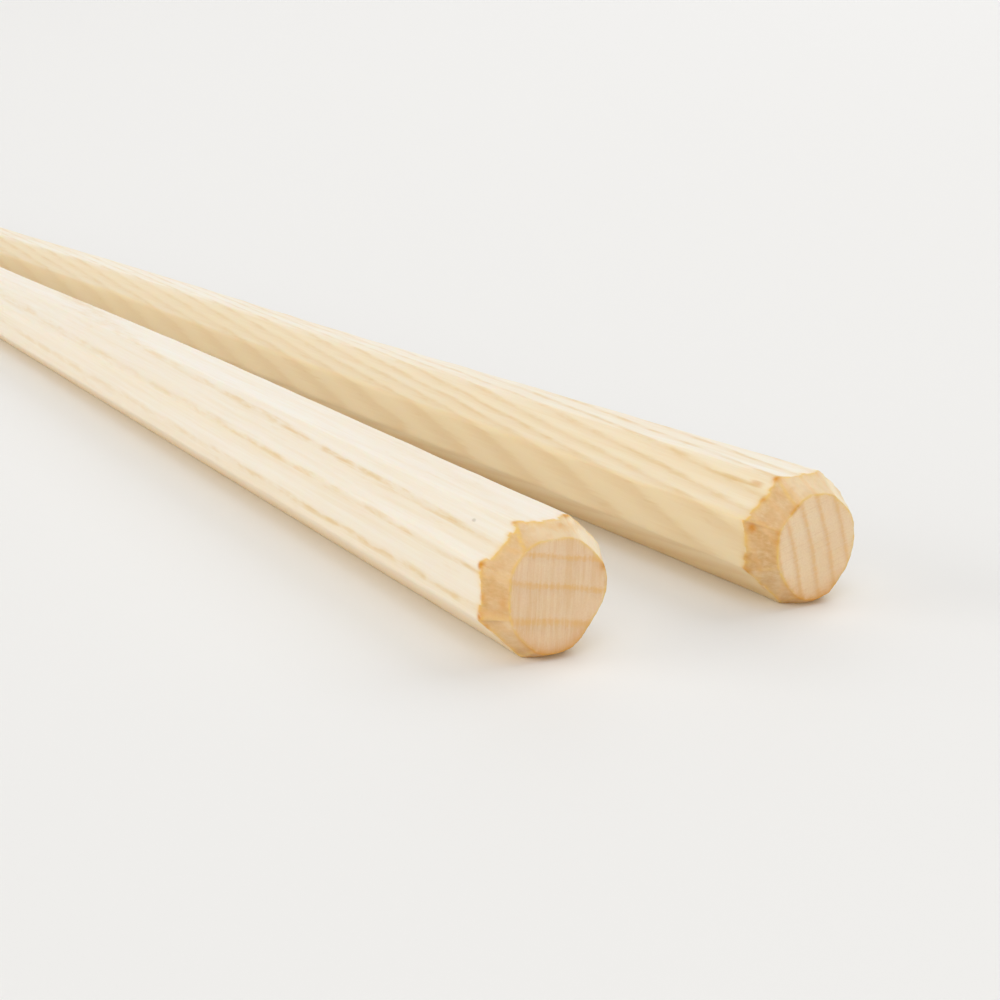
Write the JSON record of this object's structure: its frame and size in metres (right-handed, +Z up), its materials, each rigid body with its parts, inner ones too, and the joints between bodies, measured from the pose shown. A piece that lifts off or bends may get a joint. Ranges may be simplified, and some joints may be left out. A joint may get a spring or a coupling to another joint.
{
  "type": "pair of wooden chopsticks",
  "caption": "Pair of hand-shaped wooden chopsticks with an octagonal taper, pared round butts and blunt round tips, lying flat with their tips together.",
  "frame": {"origin": "middle of the pair's outline, on the surface that the sticks lie on", "axes": "+Y from the thick ends to the tips, +X from the left stick to the right stick, +Z up"},
  "size_m": [0.027, 0.2312, 0.008],
  "materials": {
    "left_stick_wood": "bare planed wood, satin",
    "right_stick_wood": "bare planed wood, satin"
  },
  "bodies": {
    "root": {"left_chopstick": "left_stick_wood", "right_chopstick": "right_stick_wood"}
  },
  "joints": []
}
